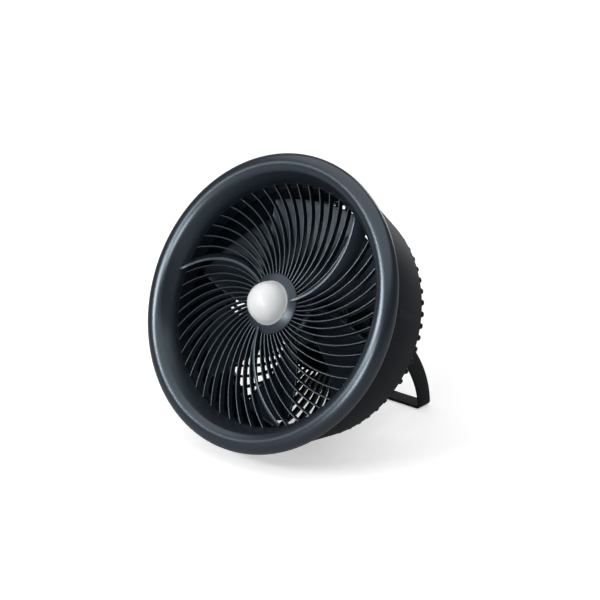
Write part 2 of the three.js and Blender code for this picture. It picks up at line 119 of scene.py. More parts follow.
def softenEdges(piece, width, segments=3, angle=35):
    modify(piece, "BEVEL", width=width * mm, segments=segments, limit_method="ANGLE",
           angle_limit=math.radians(angle), miter_outer="MITER_ARC", harden_normals=False)


def combine(piece, other, operation):
    modify(piece, "BOOLEAN", object=other, operation=operation, solver="EXACT")
    bpy.data.objects.remove(other, do_unlink=True)


def joinAll(pieces, name):
    deselectAll()
    for piece in pieces:
        piece.select_set(True)
    bpy.context.view_layer.objects.active = pieces[0]
    bpy.ops.object.join()
    pieces[0].name = name
    return pieces[0]


def copyTurned(piece, angle):
    # a copy with its own mesh, turned about the fan's axis
    pick(piece)
    bpy.ops.object.duplicate(linked=False)
    copy = bpy.context.object
    copy.rotation_euler.z = math.radians(angle)
    bpy.ops.object.transform_apply(location=True, rotation=True, scale=True)
    return copy


def ringOf(piece, count):
    return [piece] + [copyTurned(piece, index * 360 / count) for index in range(1, count)]


def smooth(piece, angle=30):
    pick(piece)
    bpy.ops.object.shade_smooth_by_angle(angle=math.radians(angle))


def arcPoints(centreR, centreZ, radius, fromAngle, toAngle, steps):
    points = []
    for step in range(steps + 1):
        angle = math.radians(fromAngle + (toAngle - fromAngle) * step / steps)
        points.append((centreR + radius * math.cos(angle), centreZ + radius * math.sin(angle)))
    return points


def curvePoints(start, handle, end, steps):
    # along a curve from start to end, without the start itself
    points = []
    for step in range(1, steps + 1):
        t = step / steps
        points.append(tuple((1 - t) ** 2 * a + 2 * t * (1 - t) * b + t * t * c
                            for a, b, c in zip(start, handle, end)))
    return points


def roundCorners(corners, steps=4):
    # corners are (radius, z) or (radius, z, rounding); the outline closes on itself
    mostOfSide = 0.48      # a rounding takes no more than this share of either side
    outline = []
    count = len(corners)
    for index, corner in enumerate(corners):
        here = Vector(corner[:2])
        rounding = corner[2] if len(corner) > 2 else 0
        if not rounding:
            outline.append(tuple(here))
            continue
        before = Vector(corners[index - 1][:2]) - here
        after = Vector(corners[(index + 1) % count][:2]) - here
        reach = min(rounding, before.length * mostOfSide, after.length * mostOfSide)
        start = here + before.normalized() * reach
        end = here + after.normalized() * reach
        outline.append(tuple(start))
        outline += curvePoints(start, here, end, steps)
    return outline


def turnPiece(name, outline, steps):
    # one vertex is walked round the outline, and the outline is spun about z
    spots = [Vector((r * mm, 0, z * mm)) for r, z in outline]
    onAxis = spots[0].x < weldReach and spots[-1].x < weldReach
    if not onAxis:
        spots.append(spots[0])
    piece = startFrom(bpy.ops.mesh.primitive_plane_add, size=mm)
    piece.name = name
    enterEdit(piece)
    bpy.ops.mesh.merge(type="CENTER")
    bpy.ops.transform.translate(value=spots[0])
    for last, spot in zip(spots, spots[1:]):
        bpy.ops.mesh.extrude_vertices_move(TRANSFORM_OT_translate={"value": spot - last})
    selectMesh()
    bpy.ops.mesh.remove_doubles(threshold=weldReach)
    bpy.ops.mesh.spin(steps=steps, angle=math.tau, center=(0, 0, 0), axis=(0, 0, 1))
    selectMesh()
    bpy.ops.mesh.remove_doubles(threshold=weldReach)
    faceOutwards()
    return piece


def sweepBar(name, stations, slant=0):
    # stations: (x, y, heading in degrees, low z, high z, thickness), all along a bar that turns about z
    # and whose section leans over by the slant
    def read(station):
        x, y, heading, low, high, thick = station
        return Vector((x * mm, y * mm, (low + high) / 2 * mm)), math.radians(heading), high - low, thick

    spot, heading, height, thick = read(stations[0])
    piece = startFrom(bpy.ops.mesh.primitive_plane_add, size=1)
    piece.name = name
    piece.scale = (thick * mm, height * mm, 1)
    piece.rotation_euler = (math.pi / 2, math.radians(slant), heading + math.pi / 2)
    piece.location = spot
    freeze(piece)
    enterEdit(piece)
    selectMesh()
    for station in stations[1:]:
        nextSpot, nextHeading, nextHeight, nextThick = read(station)
        bpy.ops.mesh.extrude_region_move(TRANSFORM_OT_translate={"value": nextSpot - spot})
        bpy.ops.transform.rotate(value=heading - nextHeading, orient_axis="Z", center_override=nextSpot)
        wider = nextThick / thick
        bpy.ops.transform.resize(value=(wider, wider, nextHeight / height), center_override=nextSpot)
        spot, heading, height, thick = nextSpot, nextHeading, nextHeight, nextThick
    faceOutwards()
    return piece


def swirlStations(rows, swirl):
    # rows of (radius, low z, high z, thickness) along a rib that turns steadily as it runs out
    finer = []
    for row, nextRow in zip(rows, rows[1:]):
        steps = math.ceil((nextRow[0] - row[0]) / swirl["longestStep"])
        finer += [[a + (b - a) * step / steps for a, b in zip(row, nextRow)] for step in range(steps)]
    stations = []
    for radius, low, high, thick in finer + [rows[-1]]:
        angle = math.radians(swirl["fromAngle"] + swirl["turnPerMm"] * (radius - swirl["fromR"]))
        lean = math.atan(radius * math.radians(swirl["turnPerMm"]))
        stations.append((radius * math.cos(angle), radius * math.sin(angle), math.degrees(angle + lean),
                         low, high, thick))
    return stations


def seat(piece, angle=30):
    # puts a finished fan piece in its place and smooths it across edges up to the angle
    freeze(piece, fanPlace)
    smooth(piece, angle)


def dress(piece, finish, body, node):
    piece.data.materials.clear()
    piece.data.materials.append(finish)
    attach(piece, body)
    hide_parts(node)


# finishes
def linear(red, green, blue):
    # 0 to 255 as seen on a screen, to the linear values that a shader takes
    values = []
    for value in (red, green, blue):
        value /= 255
        values.append(value / 12.92 if value <= 0.04045 else ((value + 0.055) / 1.055) ** 2.4)
    return (*values, 1)


class Signal:
    # the output socket of a node; arithmetic on it adds Math nodes
    def __init__(self, shader, socket):
        self.shader = shader
        self.socket = socket

    def maths(self, operation, *values):
        return self.shader.node("ShaderNodeMath", {"operation": operation}, dict(enumerate(values)))

    def __add__(self, other):
        return self.maths("ADD", self, other)

    def __radd__(self, other):
        return self.maths("ADD", other, self)

    def __sub__(self, other):
        return self.maths("SUBTRACT", self, other)

    def __rsub__(self, other):
        return self.maths("SUBTRACT", other, self)

    def __mul__(self, other):
        return self.maths("MULTIPLY", self, other)

    def __rmul__(self, other):
        return self.maths("MULTIPLY", other, self)

    def __lt__(self, other):
        return self.maths("LESS_THAN", self, other)


class Finish:
    # one material, or the world; node() adds any node, from its type, its settings and the values or
    # links of its sockets, and gives back the output that is asked for
    def __init__(self, name, world=None):
        self.owner = world or bpy.data.materials.new(name)
        self.owner.use_nodes = True
        self.tree = self.owner.node_tree
        self.tree.nodes.clear()
        self.place = self.node("ShaderNodeTexCoord", {}, {}, "Object")

    def node(self, kind, settings, inputs, output=0):
        made = self.tree.nodes.new(kind)
        for name, value in settings.items():
            setattr(made, name, value)
        for name, value in inputs.items():
            if isinstance(value, Signal):
                self.tree.links.new(value.socket, made.inputs[name])
            else:
                made.inputs[name].default_value = value
        return Signal(self, made.outputs[output]) if len(made.outputs) else None

    def noise(self, scale, detail, roughness, where=None):
        return self.node("ShaderNodeTexNoise", {}, {
            "Vector": where or self.place, "Scale": scale, "Detail": detail, "Roughness": roughness,
        }, "Fac")

    def mix(self, factor, first, second):
        return self.node("ShaderNodeMix", {"data_type": "RGBA"}, {
            "Factor": factor, 6: first, 7: second}, 2)      # its colour sockets go by number

    def bump(self, height, strength, depth):
        # the depth is in millimetres
        return self.node("ShaderNodeBump", {}, {
            "Height": height, "Strength": strength, "Distance": depth * mm})

    def fanPlaceOf(self):
        # object coordinates turned into the fan's own: z out of the front, from the rim's middle
        fromCentre = self.node("ShaderNodeVectorMath", {"operation": "SUBTRACT"}, {
            0: self.place, 1: fanCentre})
        return self.node("ShaderNodeVectorRotate", {"rotation_type": "X_AXIS"}, {
            "Vector": fromCentre, "Angle": fanTilt - math.pi / 2})

    def seenShare(self, glossyShare):
        # 1 where the camera looks at the surface, also through glass, and a share of it in reflections
        camera, glossy, glass = (self.node("ShaderNodeLightPath", {}, {}, f"Is {ray} Ray")
                                 for ray in ("Camera", "Glossy", "Transmission"))
        seen = camera + glossy * glossyShare + glass
        return seen.maths("MINIMUM", seen, 1)

    def show(self, shader, kind="ShaderNodeOutputMaterial"):
        self.node(kind, {}, {"Surface": shader})
        return self.owner

    def done(self, **sockets):
        return self.show(self.node("ShaderNodeBsdfPrincipled", {}, {
            name.replace("_", " "): value for name, value in sockets.items()}))


# satin plastics by what wears them: name, colour on a screen, roughness, grain in mm, gloss
plastics = {
    "rim": ("rimSatin", (18, 23, 30), 0.3, 0.012, 1.0),
    "shell": ("shellSatin", (21, 27, 35), 0.5, 0.02, 0.08),
    "grille": ("grilleSatin", (19, 25, 32), 0.34, 0.012, 0.95),
    "impeller": ("bladeSatin", (15, 20, 26), 0.4, 0.012, 0.5),
    "dark_plastic": ("innerBlack", (16, 19, 23), 0.46, 0.02, 0.35),
    "pod": ("podSatin", (24, 29, 36), 0.42, 0.02, 0.4),
}
plasticTint = (0.74, 0.88, 1, 1)      # the faint blue of its highlights
plasticPaler = 1.25                   # the palest flow cloud against the colour itself


def mouldedPlastic(name, colour, roughness, grainDepth, gloss):
    # a fine spark-eroded grain, faint flow clouds and small gloss changes
    finish = Finish(name)
    cloud = finish.noise(scale=16, detail=3, roughness=0.55)
    grain = finish.noise(scale=1900, detail=2, roughness=0.6)
    speck = finish.noise(scale=5200, detail=1, roughness=0.5)
    plain = linear(*colour)
    pale = (*(min(1, channel * plasticPaler) for channel in plain[:3]), 1)
    shade = finish.mix(cloud * 0.55 + grain * 0.25 + speck * 0.2, plain, pale)
    dullness = roughness + (cloud - 0.5) * 0.08 + (grain - 0.5) * 0.07
    relief = finish.bump(grain * 0.7 + speck * 0.3, strength=0.35, depth=grainDepth)
    return finish.done(Base_Color=shade, Roughness=dullness, Normal=relief, Specular_IOR_Level=gloss,
                       Specular_Tint=plasticTint)


def frostedDiffuser():
    # a cloudy cup with a faint, even painted glow: its emission lifts the shaded side, though no lamp shines
    # inside it
    finish = Finish("frostedDiffuser")
    cloud = finish.noise(scale=60, detail=2, roughness=0.5)
    haze = finish.noise(scale=2400, detail=2, roughness=0.6)
    shade = finish.mix(cloud * 0.6 + haze * 0.4, linear(214, 217, 220), linear(228, 230, 232))
    relief = finish.bump(haze, strength=0.25, depth=0.006)
    return finish.done(Base_Color=shade, Roughness=0.3 + (haze - 0.5) * 0.1, Normal=relief,
                       Subsurface_Weight=0.9, Subsurface_Radius=(1, 1, 1), Subsurface_Scale=0.01,
                       Emission_Color=shade, Emission_Strength=0.14)


def powderCoat():
    # black paint, baked on, with the slight unevenness of its skin
    finish = Finish("powderCoat")
    cloud = finish.noise(scale=22, detail=3, roughness=0.5)
    peel = finish.noise(scale=900, detail=3, roughness=0.6)
    shade = finish.mix(cloud * 0.5 + peel * 0.5, linear(13, 16, 20), linear(24, 27, 32))
    relief = finish.bump(peel, strength=0.4, depth=0.03)
    return finish.done(Base_Color=shade, Roughness=0.45 + (peel - 0.5) * 0.14, Normal=relief,
                       Specular_IOR_Level=0.2)


def platedSteel(name, dark, pale, roughness):
    # fine turning marks across a plated surface
    finish = Finish(name)
    cloud = finish.noise(scale=180, detail=2, roughness=0.5)
    marks = finish.noise(scale=2600, detail=2, roughness=0.6)
    shade = finish.mix(cloud * 0.6 + marks * 0.4, linear(*dark), linear(*pale))
    relief = finish.bump(marks, strength=0.2, depth=0.008)
    return finish.done(Base_Color=shade, Metallic=1.0, Roughness=roughness + (marks - 0.5) * 0.16,
                       Normal=relief)


def castAlloy():
    finish = Finish("castAlloy")
    cloud = finish.noise(scale=90, detail=3, roughness=0.5)
    skin = finish.noise(scale=1400, detail=4, roughness=0.65)
    shade = finish.mix(cloud, linear(132, 134, 138), linear(170, 172, 176))
    relief = finish.bump(skin, strength=0.5, depth=0.04)
    return finish.done(Base_Color=shade, Metallic=0.9, Roughness=0.42 + (skin - 0.5) * 0.3,
                       Normal=relief)


def copperWindings():
    # enamelled wire laid in turns, seen as fine bands round the coils
    finish = Finish("copperWindings")
    bands = finish.node("ShaderNodeTexWave", {"wave_type": "BANDS", "bands_direction": "Z"}, {
        "Vector": finish.fanPlaceOf(), "Scale": 420, "Distortion": 0.6, "Detail": 1}, "Fac")
    tint = finish.noise(scale=300, detail=2, roughness=0.5)
    shade = finish.mix(bands * 0.6 + tint * 0.4, linear(104, 52, 26), linear(196, 118, 66))
    relief = finish.bump(bands, strength=0.6, depth=0.12)
    return finish.done(Base_Color=shade, Metallic=0.75, Roughness=0.32 + tint * 0.12, Normal=relief)


def circuitBoard():
    # green mask over straight tracks, with a tinned pad here and there
    finish = Finish("circuitBoard")
    tracks = finish.node("ShaderNodeTexBrick", {"offset": 0.37, "squash": 1.0}, {
        "Vector": finish.place, "Scale": 240, "Mortar Size": 0.07, "Mortar Smooth": 0.2,
        "Color1": (0, 0, 0, 1), "Color2": (0.25, 0.25, 0.25, 1), "Mortar": (1, 1, 1, 1)}, "Fac")
    spots = finish.node("ShaderNodeTexVoronoi", {}, {"Vector": finish.place, "Scale": 330}, "Distance")
    pads = spots < 0.16
    mask = finish.mix(tracks, linear(22, 84, 54), linear(44, 118, 78))
    shade = finish.mix(pads, mask, linear(198, 200, 196))
    relief = finish.bump(tracks * 0.5 + pads, strength=0.4, depth=0.03)
    return finish.done(Base_Color=shade, Roughness=0.38 - pads * 0.1, Metallic=pads * 0.8,
                       Normal=relief)


def cellSleeve():
    # shrink sleeve over a round cell, with faint lengthwise wrinkles
    finish = Finish("cellSleeve")
    lengthwise = finish.node("ShaderNodeMapping", {}, {"Vector": finish.place, "Scale": (0.08, 1, 1)})
    wrinkles = finish.noise(scale=900, detail=3, roughness=0.6, where=lengthwise)
    cloud = finish.noise(scale=70, detail=2, roughness=0.5)
    shade = finish.mix(cloud * 0.5 + wrinkles * 0.5, linear(40, 96, 150), linear(70, 128, 184))
    relief = finish.bump(wrinkles, strength=0.3, depth=0.03)
    return finish.done(Base_Color=shade, Roughness=0.32 + wrinkles * 0.12, Normal=relief)


def softRubber():
    finish = Finish("softRubber")
    cloud = finish.noise(scale=120, detail=2, roughness=0.5)
    skin = finish.noise(scale=2600, detail=3, roughness=0.7)
    shade = finish.mix(cloud * 0.6 + skin * 0.4, linear(27, 28, 30), linear(40, 41, 44))
    relief = finish.bump(skin, strength=0.5, depth=0.02)
    return finish.done(Base_Color=shade, Roughness=0.78 + (skin - 0.5) * 0.16, Normal=relief)


def lightPipe():
    finish = Finish("lightPipe")
    haze = finish.noise(scale=1500, detail=2, roughness=0.5)
    shade = finish.mix(haze, linear(206, 222, 210), linear(228, 238, 230))
    relief = finish.bump(haze, strength=0.2, depth=0.01)
    return finish.done(Base_Color=shade, Roughness=0.16 + haze * 0.1, Normal=relief,
                       Transmission_Weight=0.3)


finishes = {wearer: mouldedPlastic(*row) for wearer, row in plastics.items()}
finishes.update({
    "dome": frostedDiffuser(),
    "stand": powderCoat(),
    "steel": platedSteel("platedSteel", (140, 143, 148), (186, 189, 193), 0.3),
    "blackSteel": platedSteel("blackSteel", (30, 31, 34), (58, 60, 64), 0.4),
    "alloy": castAlloy(),
    "magnet": platedSteel("magnetNickel", (72, 72, 75), (104, 104, 108), 0.36),
    "windings": copperWindings(),
    "board": circuitBoard(),
    "cell": cellSleeve(),
    "lens": lightPipe(),
    "rubber": softRubber(),
})
nodeSlots = {row["node"]: row["material_slot"] for row in frame["record"]["subparts"]}
for nodeName, cadNode in frame["nodes"].items():
    cadNode.data.materials.clear()
    cadNode.data.materials.append(finishes[nodeSlots[nodeName]])
print("finishes on", len(frame["nodes"]), "CAD nodes")

# bell ring: a hollow roll whose inner wall sinks to the grille
bell = {"rollR": 9, "rollCentre": (116, 0.6), "wall": 2.2, "crownArc": (-56, 150),
        "hollowArc": (150, -40), "funnelHandle": (103, -3.5), "throat": (102, -8),
        "sleeve": [(104.5, -8.2), (104.5, -20), (106.7, -20)], "spigotR": 115.2, "spigotZ": (-5, -18),
        "seat": [(115.2, -7.3), (120.2, -7.3)], "spinSteps": 216}
crown = arcPoints(*bell["rollCentre"], bell["rollR"], *bell["crownArc"], 44)
funnel = curvePoints(crown[-1], bell["funnelHandle"], bell["throat"], 14)
hollow = arcPoints(*bell["rollCentre"], bell["rollR"] - bell["wall"], *bell["hollowArc"], 16)
spigotInside = bell["spigotR"] - bell["wall"]
spigotTop, spigotEnd = bell["spigotZ"]
bellRing = turnPiece("bellRing", crown + funnel + bell["sleeve"] + hollow + [
    (spigotInside, spigotTop), (spigotInside, spigotEnd), (bell["spigotR"], spigotEnd), *bell["seat"],
], bell["spinSteps"])
seat(bellRing)
dress(bellRing, finishes["rim"], "housing", "bell_ring")
print("bell ring")

# outer shell: the tapering drum, with a counterbored hole for each rim screw
drum = {"frontR": 121, "frontZ": -7.7, "rearR": 103.4, "rearZ": -72.2, "wall": 2.4, "spinSteps": 216,
        "screwAngles": (10.6, 130.6, 250.6), "screwZ": -12.8, "cutTo": 126,
        "screwHole": ({"radius": 2.7, "fromR": 118.2}, {"radius": 1.6, "fromR": 108})}
drumShell = turnPiece("drumShell", roundCorners([
    (drum["frontR"], drum["frontZ"], 0.5),
    (drum["rearR"], drum["rearZ"], 0.8),
    (drum["rearR"] - drum["wall"], drum["rearZ"], 0.5),
    (drum["frontR"] - drum["wall"], drum["frontZ"]),
], 3), drum["spinSteps"])


def radialRod(radius, fromR, toR, angle, z):
    # a plain cutter that points outwards through the drum's wall
    cutter = startFrom(bpy.ops.mesh.primitive_cylinder_add, vertices=24, radius=radius * mm,
                       depth=(toR - fromR) * mm)
    cutter.rotation_euler = (0, math.pi / 2, 0)
    cutter.location = ((fromR + toR) / 2 * mm, 0, z * mm)
    freeze(cutter)
    cutter.rotation_euler.z = math.radians(angle)
    freeze(cutter)
    return cutter


for angle in drum["screwAngles"]:
    for hole in drum["screwHole"]:
        rod = radialRod(hole["radius"], hole["fromR"], drum["cutTo"], angle, drum["screwZ"])
        combine(drumShell, rod, "DIFFERENCE")
seat(drumShell)
dress(drumShell, finishes["shell"], "housing", "outer_shell")
print("drum shell")

# front grille: swirl ribs, three proud vanes, hub ring and outer collar
grille = {"places": 54, "vanes": 3, "throatR": 102,
          "swirl": {"turnPerMm": 0.4, "fromAngle": 20.2, "fromR": 25.7, "longestStep": 4},
          "rib": {"ends": (24.3, 103), "thick": 1.2, "depth": 5.5, "hubZ": -5.4, "drop": 3.2,
                  "round": 0.5},
          "hub": [(25.7, -5.0, 0.9), (18.9, -0.9, 0.7), (18.9, -3.2), (16.5, -3.2, 0.3),
                  (16.5, -5.4, 0.3), (23.1, -6.9, 0.5), (23.1, -15.5, 0.3), (25.1, -15.5, 0.5)],
          "collar": [(101.7, -8.3, 0.4), (104.1, -8.3, 0.4), (104.1, -24, 0.4), (101.7, -24, 0.4)]}
# a vane's rows are (radius, low z, high z, thickness); it curls ahead of the ribs as it runs out, and
# leans back behind its front edge, fully from a share of the way out
vaneForm = {"rows": [(21.4, -4, -1.7, 2.5), (24.9, -6.4, -2.25, 2.5), (25.3, -12.5, -2.3, 2.5),
                     (40, -12.5, -3, 2.5), (59, -12.5, -3.4, 2.5), (82, -12.5, -3.4, 2.5),
                     (98, -12.5, -2.9, 2.5), (101.6, -12.5, -2.5, 2.5), (102.2, -9.2, -2.3, 2.5),
                     (103.4, -6, -0.9, 2.3)],
            "round": 0.55, "frontZ": -3.4, "depth": 9.1, "curl": 5, "curlPower": 1.5, "lean": 4.9,
            "leanFrom": 0.25}


def shareOut(radius):
    # 0 at the hub ring, 1 at the throat of the bell
    hubR = grille["swirl"]["fromR"]
    return (radius - hubR) / (grille["throatR"] - hubR)


def ribRow(radius):
    form = grille["rib"]
    top = form["hubZ"] - form["drop"] * shareOut(radius)
    return radius, top - form["depth"], top, form["thick"]


def vaneTurn(spot):
    out = max(0, shareOut(spot.xy.length / mm))
    deep = min(1, max(0, vaneForm["frontZ"] - spot.z / mm) / vaneForm["depth"])
    lean = vaneForm["lean"] * deep * min(1, out / vaneForm["leanFrom"])
    return math.radians(vaneForm["curl"] * out ** vaneForm["curlPower"] - lean)


ribRows = [ribRow(radius) for radius in grille["rib"]["ends"]]
rib = sweepBar("rib", swirlStations(ribRows, grille["swirl"]))
softenEdges(rib, grille["rib"]["round"])
vaneEvery = grille["places"] // grille["vanes"]
frontRibs = joinAll([copyTurned(rib, place * 360 / grille["places"])
                     for place in range(grille["places"]) if place % vaneEvery], "frontRibs")
bpy.data.objects.remove(rib, do_unlink=True)

vane = sweepBar("vane", swirlStations(vaneForm["rows"], grille["swirl"]))
for corner in vane.data.vertices:
    corner.co = Matrix.Rotation(vaneTurn(corner.co), 3, "Z") @ corner.co
softenEdges(vane, vaneForm["round"])
frontVanes = joinAll(ringOf(vane, grille["vanes"]), "frontVanes")

hubRing = turnPiece("hubRing", roundCorners(grille["hub"]), steps=120)
collar = turnPiece("grilleCollar", roundCorners(grille["collar"], 3), steps=216)
for piece in (frontRibs, frontVanes, hubRing, collar):
    seat(piece, 40)
    finish = finishes["shell" if piece is collar else "grille"]
    dress(piece, finish, "housing", "front_grille")
print("front grille,", len(frontRibs.data.polygons), "faces of ribs")

# light dome: a thin frosted cup in the hub ring
dome = {"radius": 17.8, "baseZ": -1.4, "wall": 1.8, "rearZ": -2.9, "spinSteps": 96,
        "flange": [(17.95, -1.2), (18.35, -1.1), (18.45, -1.3), (18.45, -2.9)]}
domeInside = dome["radius"] - dome["wall"]
domeOuter = arcPoints(0, dome["baseZ"], dome["radius"], 90, 3, 22)
domeInner = arcPoints(0, dome["baseZ"], domeInside, 0, 90, 16)
domeOuter[0] = (0, domeOuter[0][1])      # both ends stand exactly on the axis
domeInner[-1] = (0, domeInner[-1][1])
lightDome = turnPiece("lightDome", [
    *domeOuter, *dome["flange"], (domeInside, dome["rearZ"]), *domeInner], dome["spinSteps"])
seat(lightDome, 50)
dress(lightDome, finishes["dome"], "housing", "light_dome")
print("light dome")

# impeller: six swept blades on a hub that covers the motor
wheel = {"blades": 6, "rings": 16, "chordSteps": 14, "rootR": 26.6, "tipR": 93.5,
         "frontZ": -20.5, "frontDip": 3.5, "rearZ": -50.5, "thick": 2.0, "round": 0.7,
         "phase": 54.5, "turn": 36.5, "sweep": 0.27, "camber": 3,
         "tipTurn": 6.5, "tipFrom": 0.5, "tipBlend": 0.25,
         "hub": [(3.3, -22), (22, -22, 1.6), (27.5, -24.2, 2.2), (27.5, -51, 0.4), (25.5, -51, 0.3),
                 (25.5, -26.4, 1.2), (23, -24.4, 0.8), (3.3, -24.4)]}


def bladeSpot(radius, chord):
    # chord is 0 at the front edge, which sweeps, and 1 at the rear one, which runs straight out
    along = (radius - wheel["rootR"]) / (wheel["tipR"] - wheel["rootR"])
    front = wheel["frontZ"] - wheel["frontDip"] * (1 - along)
    z = front + (wheel["rearZ"] - front) * chord
    bulge = wheel["camber"] * math.sin(math.pi * chord)
    ahead = wheel["sweep"] * (wheel["tipR"] - radius)
    # the outer part reaches further round
    wider = wheel["tipTurn"] * min(1, max(0, along - wheel["tipFrom"]) / wheel["tipBlend"])
    angle = math.radians(wheel["phase"] + ahead - (wheel["turn"] + ahead + wider) * chord + bulge)
    return Vector((radius * math.cos(angle) * mm, radius * math.sin(angle) * mm, z * mm))


def makeBlade():
    # a plate is cut into rings and chord steps, and each of its corners goes to its place on the blade
    blade = startFrom(bpy.ops.mesh.primitive_grid_add, x_subdivisions=wheel["rings"],
                      y_subdivisions=wheel["chordSteps"], size=1)
    for corner in blade.data.vertices:
        along, chord = corner.co.x + 0.5, corner.co.y + 0.5
        corner.co = bladeSpot(wheel["rootR"] + (wheel["tipR"] - wheel["rootR"]) * along, chord)
    enterEdit(blade)
    faceOutwards()
    modify(blade, "SOLIDIFY", thickness=wheel["thick"] * mm, offset=0)
    softenEdges(blade, wheel["round"], angle=60)
    return blade


blades = ringOf(makeBlade(), wheel["blades"])
wheelHub = turnPiece("wheelHub", roundCorners(wheel["hub"]), steps=96)
impellerWheel = joinAll([wheelHub] + blades, "impellerWheel")
seat(impellerWheel, 40)
dress(impellerWheel, finishes["impeller"], "fan_rotor", "impeller")
print("impeller,", len(impellerWheel.data.polygons), "faces")

# rear grille: slanted swirl ribs on a dome, round a plate, and a ring at their ends
rear = {"places": 54, "slant": 0.42, "round": 0.7,
        "swirl": {"turnPerMm": -0.33, "fromAngle": 2.9, "fromR": 46, "longestStep": 5},
        "rows": [(44, -85.6, -83.6, 2.1), (50, -85.6, -80.2, 2.1), (58, -85.2, -78.9, 2.1),
                 (72, -83.9, -77.4, 2.1), (86, -81.6, -75.1, 2.1), (99.3, -78.1, -71.7, 2.1)],
        "plate": [(0, -86), (46, -86, 0.8), (46, -83.2, 0.8), (0, -83.2)],
        "ring": [(98.2, -68, 0.3), (100.4, -68, 0.3), (100.4, -76.2, 0.5), (98.2, -76.2, 0.5)]}
# rounded knobs stand behind the shell's edge, and small ones in the zone underneath
knobs = {"count": 64, "phase": -1.5, "footZone": -21,
         "wide": {"fromR": 96.8, "reach": 101.3, "topZ": -75.4, "depth": 5, "width": 5, "round": 2},
         "foot": {"fromR": 99.3, "reach": 103.1, "topZ": -72.8, "depth": 1.6, "width": 3.6,
                  "round": 0.6}}
rearRib = sweepBar("rearRib", swirlStations(rear["rows"], rear["swirl"]),
                   math.degrees(math.atan(rear["slant"])))
softenEdges(rearRib, rear["round"])
rearRibs = ringOf(rearRib, rear["places"])


def makeKnob(size):
    # a block from the ring outwards, well rounded all over
    reach, fromR = size["reach"], size["fromR"]
    knob = startFrom(bpy.ops.mesh.primitive_cube_add, size=mm)
    knob.scale = (reach - fromR, size["width"], size["depth"])
    knob.location = ((reach + fromR) / 2 * mm, 0, (size["topZ"] - size["depth"] / 2) * mm)
    freeze(knob)
    softenEdges(knob, size["round"], 5)
    return knob


wideKnob, footKnob = makeKnob(knobs["wide"]), makeKnob(knobs["foot"])
for index in range(knobs["count"]):
    angle = index * 360 / knobs["count"] + knobs["phase"]
    underneath = math.sin(math.radians(angle)) < math.sin(math.radians(knobs["footZone"]))
    rearRibs.append(copyTurned(footKnob if underneath else wideKnob, angle))
for knob in (wideKnob, footKnob):
    bpy.data.objects.remove(knob, do_unlink=True)
rearPlate = turnPiece("rearPlate", roundCorners(rear["plate"], 3), steps=128)
rearRing = turnPiece("rearRing", roundCorners(rear["ring"], 3), steps=180)
rearGrille = joinAll([rearPlate, rearRing] + rearRibs, "rearGrille")
seat(rearGrille, 40)
dress(rearGrille, finishes["dark_plastic"], "housing", "rear_grille")
print("rear grille,", len(rearGrille.data.polygons), "faces")

# battery pod: a rounded cup behind the plate, with lugs for the stand and holes for what sits in its
# rear wall; the places of screws, buttons, lens and socket are (x, y)
pod = {"radius": 42, "frontZ": -86.4, "rearZ": -113, "wall": 2.3,
       "lugR": 8.5, "lugFrom": 36, "lugX": 52.4, "pinY": 9, "pinZ": -95,
       "screws": ((24, 24), (-24, 24), (-24, -24), (24, -24)),
       "buttons": ((9, 28), (-9, 28)), "lens": (0, 28), "socket": (0, -28),
       "keyHoleR": 5.85, "lensHoleR": 1.9, "holeChamfer": 0.5, "holeZ": (-120, -109)}
podInside = pod["radius"] - pod["wall"]
podCut = {"hollow": [(0, -107.5), (podInside - 0.02, -107.5), (podInside - 0.02, -80), (0, -80)],
          "pinHole": [(0, 43.5), (3.35, 43.5), (3.35, 51.9), (3.9, 52.5), (3.9, 60), (0, 60)],
          "screwPost": [(0, -111.5), (3.2, -111.5), (3.2, pod["frontZ"]), (0, pod["frontZ"])],
          "screwHole": [(0, -120), (3.4, -120), (3.4, -113), (3, -112.6), (3, -111.4), (1.8, -111.4),
                        (1.8, -80), (0, -80)]}
podCover = turnPiece("podCover", roundCorners([
    (0, pod["rearZ"]), (pod["radius"], pod["rearZ"], 4.6), (pod["radius"], pod["frontZ"], 0.4),
    (podInside, pod["frontZ"], 0.4), (podInside, pod["rearZ"] + pod["wall"], 2.6),
    (0, pod["rearZ"] + pod["wall"])], 8), steps=144)


def sideways(piece, side):
    # turns a piece that is spun about z to lie along x at the stand's pivot, facing outwards
    freeze(piece, moved(0, pod["pinY"], pod["pinZ"]) @ turned(side * 90, "Y"))
    return piece


def turnedAt(spot, outline, steps=40, name="cutter"):
    # a turned piece that is moved to its (x, y)
    piece = turnPiece(name, outline, steps)
    freeze(piece, moved(*spot, 0))
    return piece


for side in (1, -1):
    lug = turnPiece("lug", roundCorners([
        (0, pod["lugFrom"]), (pod["lugR"], pod["lugFrom"]), (pod["lugR"], pod["lugX"], 0.9),
        (0, pod["lugX"])], 5), steps=72)
    combine(podCover, sideways(lug, side), "UNION")
combine(podCover, turnedAt((0, 0), podCut["hollow"]), "DIFFERENCE")
for side in (1, -1):
    combine(podCover, sideways(turnPiece("pinHole", podCut["pinHole"], steps=40), side), "DIFFERENCE")
for spot in pod["screws"]:
    combine(podCover, turnedAt(spot, podCut["screwPost"]), "UNION")
    combine(podCover, turnedAt(spot, podCut["screwHole"]), "DIFFERENCE")
roundHoles = [(spot, pod["keyHoleR"]) for spot in pod["buttons"]] + [(pod["lens"], pod["lensHoleR"])]
holeFrom, holeTo = pod["holeZ"]
for spot, radius in roundHoles:
    wide = radius + pod["holeChamfer"]
    combine(podCover, turnedAt(spot, [
        (0, holeFrom), (wide, holeFrom), (wide, pod["rearZ"]),
        (radius, pod["rearZ"] + pod["holeChamfer"]), (radius, holeTo), (0, holeTo)]), "DIFFERENCE")


